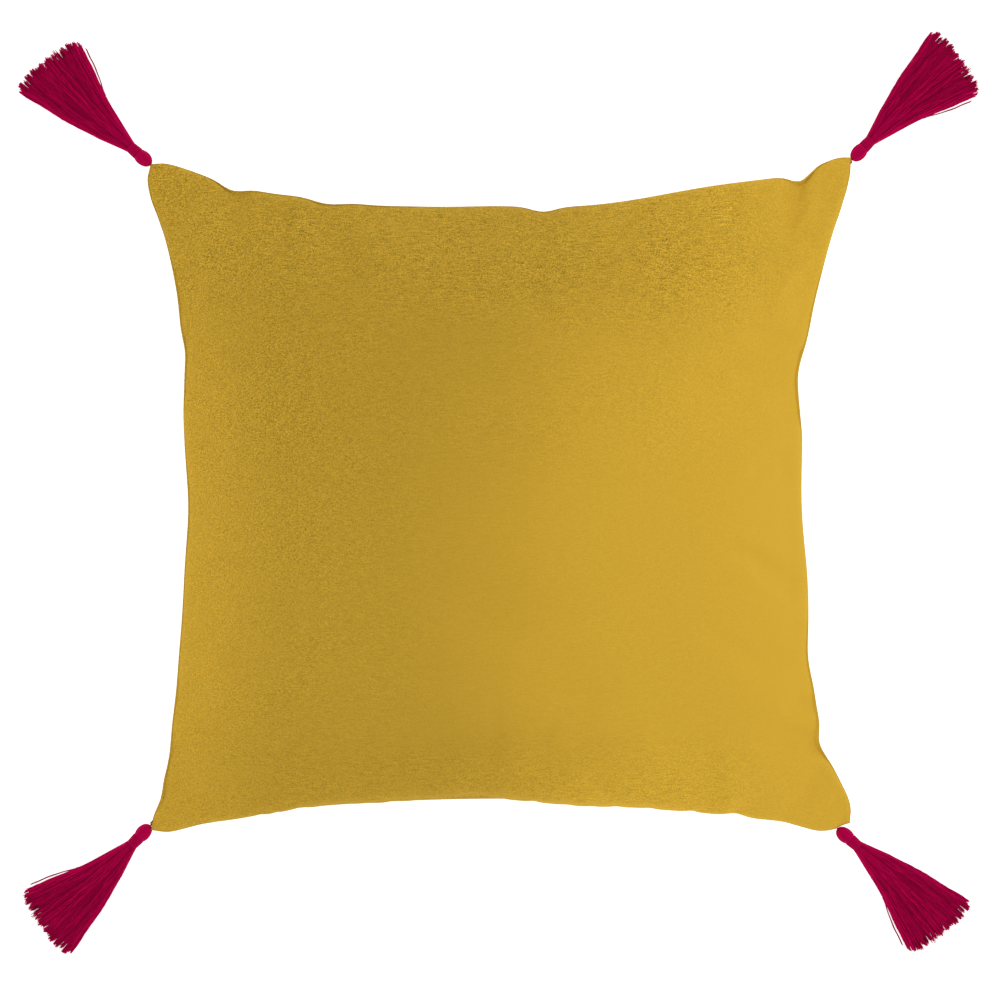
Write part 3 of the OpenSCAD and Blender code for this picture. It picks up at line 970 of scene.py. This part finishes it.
def corner_places(corner):
    """Tack and bar of a corner, and the tassel's three axes as seen from above."""
    tack = np.array(joints[corner + "_swing"]["pos_m"]) / MM
    bar = np.array(joints[corner + "_lift"]["pos_m"]) / MM
    ahead = (bar - tack) / np.linalg.norm(bar - tack)
    left = np.cross((0, 0, 1), ahead)
    return tack, bar, ahead, left


def hang(points, corner):
    """Moves points from the tassel's own space to its corner, leaning down."""
    _, bar, ahead, left = corner_places(corner)
    along = ahead * math.cos(lean) - np.array((0, 0, math.sin(lean)))
    up = ahead * math.sin(lean) + np.array((0, 0, math.cos(lean)))
    bent = points.copy()
    bent[:, 1] += TURN * np.minimum(points[:, 0], SKIRT_X)
    return bar + bent @ np.stack([along, left, up])


print("lean", round(math.degrees(lean), 1), "degrees")

# %% [markdown]
# The head is yarn folded over, so its strands run from the fold down over a stuffed bulb. Tubes along
# the bulb's meridians, turned slightly, give that, over a plain core that closes the gaps.

# %% Head: meridian strands over a bulb
HEAD_STRANDS, YARN_R = 46, 0.36
EYE_PATH_R, EYE_YARN_R = 0.85, 0.24
TOP_TURN = math.acos((NECK_R - 0.2) / HEAD_R)


def bulb(t):
    """Distance along and radius of the bulb, for t from 0 at the fold to 1 at the neck."""
    angle = -math.pi / 2 + t * (math.pi / 2 + TOP_TURN)
    along = HEAD_X + HEAD_L * (np.sin(angle) + 1) / (math.sin(TOP_TURN) + 1)
    return along, HEAD_R * np.cos(angle)


def lathe(along, radius, steps=32):
    """A closed turned shape round X."""
    turn = np.arange(steps) * 2 * math.pi / steps
    points = np.stack([np.broadcast_to(along[:, None], (len(along), steps)),
                       radius[:, None] * np.cos(turn), radius[:, None] * np.sin(turn)], -1)
    ids = np.arange(len(along) * steps).reshape(len(along), steps)
    quads = np.stack([ids[:-1], ids[1:], np.roll(ids, -1, 1)[1:], np.roll(ids, -1, 1)[:-1]], -1)
    ends = [ids[0].tolist(), ids[-1, ::-1].tolist()]
    return points.reshape(-1, 3), quads.reshape(-1, 4).tolist() + ends


def join(*parts):
    """Puts several (points, faces) together."""
    points, faces, base = [], [], 0
    for some_points, some_faces in parts:
        points.append(some_points)
        faces += [[base + k for k in face] for face in some_faces]
        base += len(some_points)
    return np.concatenate(points), faces


t = np.linspace(0.03, 1.0, 14)
bulb_x, bulb_r = bulb(t)
turn = (np.arange(HEAD_STRANDS) * 2 * math.pi / HEAD_STRANDS)[:, None] + 0.25 * t
rough = 1 + 0.02 * rng.standard_normal((HEAD_STRANDS, 1))
ring_r = np.maximum((bulb_r - YARN_R) * rough, 0.25)
paths = np.stack([np.broadcast_to(bulb_x, turn.shape), ring_r * np.cos(turn), ring_r * np.sin(turn)],
                 -1)
around = np.stack([0 * turn, -np.sin(turn), np.cos(turn)], -1)
slimmer = YARN_R * (0.55 + 0.45 * smooth_step(t * 3))
head_points, head_faces, per_tube = tubes(paths, slimmer, around, 5)
head_shade = np.repeat(0.55 + 0.35 * rng.random(HEAD_STRANDS), per_tube)
core_points, core_faces = lathe(bulb_x[1:], bulb_r[1:] - 0.75)
turn = np.linspace(0, 2 * math.pi, 20, endpoint=False)
eyes = np.stack([np.stack([EYE_PATH_R * np.cos(turn), 0 * turn + y, EYE_PATH_R * np.sin(turn)], -1)
                 for y in (-EYE_YARN_R, EYE_YARN_R)])
eye_points, eye_faces, _ = tubes(eyes, EYE_YARN_R, (0, 1, 0), 6, closed=True)
HEAD = join((head_points, head_faces), (core_points, core_faces), (eye_points, eye_faces))
# The core gets a dark 0.2: painted shade in the gaps between the head's strands.
HEAD_SHADE = np.concatenate([head_shade, np.full(len(core_points), 0.2),
                             np.full(len(eye_points), 0.6)])
print("head points:", len(HEAD[0]))

# %% [markdown]
# The neck is one thread wound tight round the yarn: a helix with its turns touching.

# %% Neck: a wound thread
WIND_R = 0.34
turns = NECK_L / (2 * WIND_R)
t = np.linspace(0, 1, int(turns * 18))
turn = 2 * math.pi * turns * t
wind = NECK_R + 0.15 - 0.4 * t - WIND_R
path = np.stack([NECK_X + WIND_R + (NECK_L - 2 * WIND_R) * t,
                 wind * np.cos(turn), wind * np.sin(turn)], -1)
wind_points, wind_faces, _ = tubes(path[None], WIND_R, (1, 0, 0), 6)
bound = np.array([NECK_X - 0.4, NECK_X, NECK_X + NECK_L, NECK_X + NECK_L + 0.4])
core_points, core_faces = lathe(bound, np.array([2.2, 3.0, 3.0, 2.2]))
NECK = join((wind_points, wind_faces), (core_points, core_faces))
shade_turn = 0.52 + 0.14 * np.sin(np.repeat(turn, 6) * 0.37)
# The core under the winding gets a dark 0.2: painted shade between the turns.
NECK_SHADE = np.concatenate([shade_turn, np.full(len(core_points), 0.2)])
print("turns round the neck:", round(turns, 1))

# %% [markdown]
# The skirt is over a thousand cut strands, pressed flat into a fan. They hang together in locks, and
# the gaps between locks are the dark streaks. The fan isn't even: one side runs out nearly straight,
# and the other swells first and then breaks outwards. The cut end is a slightly ragged arc.

# %% Skirt: the fan's two edges and its cut end
FAN_L, LEFT_START, LEFT_END, LEFT_BOW = 78.0, 4.7, 25.6, 7.9
RIGHT_START, RIGHT_OPENS, BREAK_AT, BREAKS_OUT = 2.4, 0.227, 26.0, 0.114
CUT_MIDDLE, CUT_SLANT, CUT_ROUND = 75.6, 3.4, 5.4
LOCKS, STRANDS, STEPS, FIBRE_R = 64, 1150, 16, 0.24


def fan_edges(s):
    """Distances of the left and right edges from the middle: a shallow bow, and a line that breaks."""
    share = s / FAN_L
    left = LEFT_START + (LEFT_END - LEFT_START) * share + LEFT_BOW * share * (1 - share)
    return left, RIGHT_START + RIGHT_OPENS * s + BREAKS_OUT * np.maximum(s - BREAK_AT, 0)


def cut_end(across):
    """Length of the strands: a slanted line, rounded off at both corners."""
    return CUT_MIDDLE + CUT_SLANT * across - CUT_ROUND * across ** 4


def fan(across, s):
    """Sideways place of a strand, for across from -1 (right edge) to 1 (left edge)."""
    left, right = fan_edges(s)
    return (left - right) / 2 + across * (left + right) / 2 - TURN * SKIRT_X


print("fan is", round(float(sum(fan_edges(CUT_MIDDLE))), 1), "mm wide at the cut")

# %% [markdown]
# Each strand has its own place, depth and length, and takes its wave from the nearest lock, with a
# little of its own. Towards the cut end a lock draws together and leaves a nick beside it. Hair
# particles could do this, but they'd have to be turned into meshes for the other tools.

# %% Skirt: strands in locks
lock_at = np.sort(rng.uniform(-1, 1, LOCKS))
lock_wave = rng.uniform(0, 2 * math.pi, (LOCKS, 4))
lock_tone = rng.random(LOCKS)
lock_cut = rng.normal(0, 0.9, LOCKS)
across = np.clip(np.linspace(-1, 1, STRANDS) + rng.normal(0, 0.008, STRANDS), -1, 1)
lock = np.argmin(np.abs(across[:, None] - lock_at[None]), 1)
deep = rng.uniform(-1, 1, STRANDS)
length = cut_end(across) + lock_cut[lock] + rng.normal(0, 0.7, STRANDS)
t = np.linspace(0, 1, STEPS)
s = length[:, None] * t - 3.0 * (1 - t)
gather = 0.35 * smooth_step((s - 52) / 22)
pulled = across[:, None] + (lock_at[lock] - across)[:, None] * gather
wave = lock_wave[lock]
swing = smooth_step(s / 30)
sway = 0.42 * np.sin(s / 4.6 + wave[:, :1]) + 0.36 * np.sin(s / 8.0 + wave[:, 1:2])
sway = sway * swing * (1 - 0.7 * (np.abs(across) ** 4)[:, None])
own = rng.uniform(0, 2 * math.pi, (STRANDS, 2))
sway += (0.16 * np.sin(s / 2.4 + own[:, :1]) + 0.35 * np.sin(s / 11 + own[:, 1:])) * swing
inside = np.clip((s + 3.0) / 4.0, 0, 1)
y = fan(pulled, np.maximum(s, 0)) * (0.8 + 0.2 * inside) + sway
thick = np.interp(s, [-4, 0, 12, 76], [2.6, 3.2, 3.0, SKIRT_T]) - FIBRE_R
z = deep[:, None] * thick * np.sqrt(np.maximum(1 - 0.92 * pulled ** 2, 0.05))
z += 0.3 * np.sin(s / 8.0 + wave[:, 2:3]) * swing
z = np.clip(z, -SKIRT_T + FIBRE_R, None)
strands = np.stack([SKIRT_X + s, y, z], -1)
print("longest strand:", round(float(length.max()), 1), "mm")

# %% [markdown]
# Between the strands lies a thin solid leaf in the same fan shape. It stands for the hundreds of
# strands in the middle of the skirt that are never seen, and keeps the table from showing through.

# %% Skirt: the hidden middle
leaf_s, leaf_a = np.meshgrid(np.linspace(0, 1, 26), np.linspace(-0.97, 0.97, 22), indexing="ij")
leaf_s = leaf_s * (cut_end(leaf_a) - 4.5)
leaf_y = fan(leaf_a, leaf_s)
leaf_z = 1.3 * np.sqrt(np.maximum(1 - leaf_a ** 2, 0.0)) + 0.12
leaf_top = np.stack([SKIRT_X + leaf_s, leaf_y, leaf_z], -1)
leaf_bottom = np.stack([SKIRT_X + leaf_s, leaf_y, -leaf_z], -1)
LEAF = closed_between(leaf_top, leaf_bottom, flipped=True)
print("leaf points:", len(LEAF[0]))

# %% [markdown]
# No tassel is combed perfectly. Two threads have come away along the right edge and a few stand out
# of the cut end. Then all the strands become one mesh, darker and lighter from thread to thread.

# %% Skirt: loose ends that stray
stray_s = np.linspace(34, 64, STEPS)
strays = []
for apart, cut in ((1.7, 1.0), (2.1, 0.985)):
    s = stray_s * cut
    off = apart * smooth_step((s - 32) / 20) + 0.10 * np.sin(s / 1.7 + apart)
    strays.append(np.stack([SKIRT_X + s, fan(-1.0, s) - off, 0 * s - 0.6], -1))
for across_at, extra in ((-0.38, 2.2), (-0.33, 3.0), (-0.80, 1.6), (-0.86, 2.4), (0.62, 1.0)):
    cut = cut_end(across_at) + extra
    s = np.linspace(50, cut, STEPS)
    bend = 0.6 * smooth_step((s - cut + 6) / 6)
    strays.append(np.stack([SKIRT_X + s, fan(across_at, s) + bend, 0 * s + 0.8], -1))
paths = np.concatenate([strands, np.array(strays)])
slim = np.concatenate([np.full(STRANDS, FIBRE_R), np.full(len(strays), 0.26)])[:, None]
taper = 1 - 0.18 * t
points, faces, per_tube = tubes(paths, slim * taper, (0, 0, 1), 4)
tone = np.concatenate([0.30 * lock_tone[lock] + 0.85 * rng.random(STRANDS),
                       np.full(len(strays), 0.15)])
tone[:STRANDS] += 0.14 * (np.abs(across) > 0.86) - 0.14 * ((across > 0.35) & (across < 0.8))
SKIRT = join((points, faces), LEAF)
# The leaf gets a dark 0.3: painted shade between the skirt's strands.
SKIRT_SHADE = np.concatenate([np.repeat(np.clip(tone, 0, 1), per_tube), np.full(len(LEAF[0]), 0.3)])
print("skirt points:", len(points))

# %% [markdown]
# The loop is a closed ring of two-ply cord: two thin strands twisted round each other along the
# ring's path. It is round at the tack and straight where the head hangs.

# %% Loop: two plies round a ring
tack_at, bar_at, _, _ = corner_places("top_right")
LOOP_L = float(np.linalg.norm(bar_at - tack_at))
LEGS = TACK_R + 0.1 + CORD_R


def ring_path(count):
    """Evenly spaced points round the loop, in the corner's flat space with the tack at the origin."""
    bend = np.linspace(math.pi / 2, 3 * math.pi / 2, 40)
    outline = np.concatenate([
        np.stack([LEGS * np.cos(bend), LEGS * np.sin(bend)], -1),
        [[LOOP_L - 0.35, -LEGS], [LOOP_L - 0.1, -LEGS + 0.12], [LOOP_L, -LEGS + 0.4],
         [LOOP_L, LEGS - 0.4], [LOOP_L - 0.1, LEGS - 0.12], [LOOP_L - 0.35, LEGS], [0, LEGS]]])
    run = np.concatenate([[0], np.cumsum(np.linalg.norm(np.diff(outline, axis=0), axis=1))])
    at = np.linspace(0, run[-1], count, endpoint=False)
    return np.stack([np.interp(at, run, outline[:, 0]), np.interp(at, run, outline[:, 1]), 0 * at], -1)


RING_STEPS = 96
ring = ring_path(RING_STEPS)
ahead = np.roll(ring, -1, 0) - np.roll(ring, 1, 0)
ahead /= np.linalg.norm(ahead, axis=1, keepdims=True)
aside, upright = np.cross(ahead, (0, 0, 1.0)), np.array((0, 0, 1.0))
PLY_R, PLY_TURNS = 0.24, 7
turn = (np.arange(RING_STEPS) / RING_STEPS * 2 * math.pi * PLY_TURNS)[:, None]
plies = [ring + (CORD_R - PLY_R) * (aside * np.cos(turn + p) + upright * np.sin(turn + p))
         for p in (0, math.pi)]
loop_points, loop_faces, _ = tubes(plies, PLY_R, (0, 0, 1.0), 6, closed=True)
print("loop", round(LOOP_L, 2), "mm from tack to bar")

# %% [markdown]
# The tack that ties the loop to the corner is a few strands of mustard thread, wound over with more
# thread, as a buttonhole bar is. Its arms lie along the seam, in the ear of the cover.

# %% Tack: a wound bar
ARM_Z, TACK_TURNS, TACK_THREAD_R, TACK_CORE_R = CORD_R + AIR, 5, 0.16, 0.3
t = np.linspace(0, 1, 60)
turn = t * 2 * math.pi * TACK_TURNS
wind, bar_z = TACK_R - 0.15, (2 * t - 1) * (ARM_Z + 0.5)
bar_path = np.stack([wind * np.cos(turn), wind * np.sin(turn), bar_z], -1)
core_path = np.stack([0 * t, 0 * t, bar_z], -1)
arm_x = np.linspace(-5, 0.3, 60)
arm_paths = [np.stack([arm_x, 0.18 * np.cos(arm_x * 4 + p),
                       side * (ARM_Z + 0.3) + 0.14 * np.sin(arm_x * 4 + p)], -1)
             for side in (-1, 1) for p in (0, math.pi)]
tack_points, tack_faces, _ = tubes([bar_path] + arm_paths, TACK_THREAD_R, (0.31, 0.2, 0.93), 6)
core_points, core_faces, _ = tubes([core_path], TACK_CORE_R, (1, 0, 0), 8)
TACK = join((tack_points, tack_faces), (core_points, core_faces))
print("tack points:", len(TACK[0]))


# %% [markdown]
# Every part is ready, so each corner gets its own tassel and loop, riding on the bodies that move
# them. The four tacks never move, so they are one piece on the cushion.


# %% Set a tassel at every corner
def at_tack(points, corner):
    tack, _, ahead, left = corner_places(corner)
    return tack + points @ np.stack([ahead, left, (0, 0, 1.0)])


tacks = []
for corner in CORNERS:
    for part, (points, faces), shade in (("head", HEAD, HEAD_SHADE), ("neck", NECK, NECK_SHADE),
                                         ("skirt", SKIRT, SKIRT_SHADE)):
        piece = new_piece(f"{corner}_yarn_{part}", hang(points, corner), faces, corner + "_tassel",
                          [f"{corner}_{part}"], yarn)
        set_shade(piece, shade)
    piece = new_piece(f"{corner}_cord", at_tack(loop_points, corner), loop_faces, corner + "_loop",
                      [corner + "_loop"], yarn)
    set_shade(piece, np.full(len(loop_points), 0.25))
    tacks.append((at_tack(TACK[0], corner), TACK[1]))
points, faces = join(*tacks)
new_piece("thread_tacks", points, faces, "cushion", ["corner_tacks"], thread)
print("tassels set:", len(CORNERS))

# %% [markdown]
# ## Floor and light
#
# Soft goods look best in broad, even light. A white dome gives every surface its own colour, and one
# large lamp on the right adds the gentle change from light to dark that shows the pillow is round.
# The floor is plain and nearly white, and glows a little, so that only a faint shadow is left.

# %% Floor
bpy.context.scene.view_settings.view_transform = "Standard"


def floor_finish():
    n = Nodes("pale floor")
    grit = n.noise(40, 2.0)
    return n.finish(n.mix(grit, paint(246, 246, 246), paint(250, 250, 250)), 0.9,
                    Specular_IOR_Level=0.0, Emission_Color=(1, 1, 1, 1), Emission_Strength=0.55)


floor_mesh = bpy.data.meshes.new("floor")
floor_mesh.from_pydata([(-4, -4, 0), (4, -4, 0), (4, 4, 0), (-4, 4, 0)], [], [(0, 1, 2, 3)])
floor_mesh.materials.append(floor_finish())
floor = bpy.data.objects.new("floor", floor_mesh)
bpy.context.scene.collection.objects.link(floor)
floor.location.z = -0.0004
print("floor laid")

# %% [markdown]
# The dome is just below full white, so that the lamp has room to add its share. A smaller lamp would
# draw hard shadows in the folds, and a stronger one would wash out the pile on the right.

# %% Dome and lamp
DOME, KEY_WATTS, KEY_WIDTH = 0.92, 7.0, 1.6
world = bpy.data.worlds.new("studio")
bpy.context.scene.world = world
world.use_nodes = True
world.node_tree.nodes["Background"].inputs["Color"].default_value = (1, 1, 1, 1)
world.node_tree.nodes["Background"].inputs["Strength"].default_value = DOME
key = bpy.data.objects.new("key", bpy.data.lights.new("key", "AREA"))
key.data.shape, key.data.size, key.data.energy = "DISK", KEY_WIDTH, KEY_WATTS
key.location = (1.6, 0.5, 1.9)
bpy.context.scene.collection.objects.link(key)
aim = key.constraints.new("TRACK_TO")
aim.target, aim.track_axis, aim.up_axis = front, "TRACK_NEGATIVE_Z", "UP_Y"
print("lamp set")
